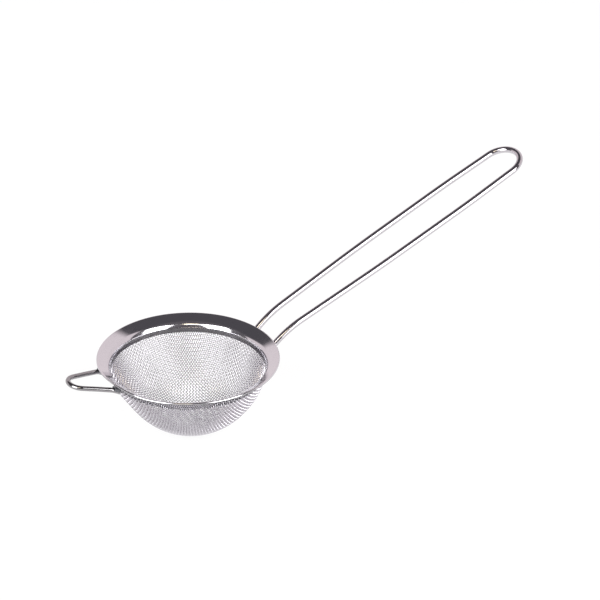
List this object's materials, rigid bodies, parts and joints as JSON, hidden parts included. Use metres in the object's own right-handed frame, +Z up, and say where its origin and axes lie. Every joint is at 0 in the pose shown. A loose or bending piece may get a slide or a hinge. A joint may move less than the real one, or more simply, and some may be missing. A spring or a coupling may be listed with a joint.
{
  "type": "tea strainer",
  "caption": "Round steel tea strainer with a woven wire bowl in a flared rim, a long hairpin wire handle and a short wire rest loop that sits on the far side of a cup.",
  "frame": {"origin": "centre of the rim, level with its highest edge", "axes": "+X along the handle away from the rim, +Y to the left of the handle, +Z up, square to the rim's plane"},
  "size_m": [0.2317, 0.08, 0.0881],
  "materials": {
    "rim": "mirror-polished stainless steel sheet",
    "mesh": "bright woven stainless steel wire",
    "wire": "polished stainless steel wire",
    "weld": "plain welded steel"
  },
  "bodies": {
    "root": {"rim_flange": "rim", "mesh_bowl": "mesh", "handle_wire": "wire", "rest_loop": "wire", "handle_weld_left": "weld", "handle_weld_right": "weld", "rest_weld_left": "weld", "rest_weld_right": "weld"}
  },
  "joints": []
}
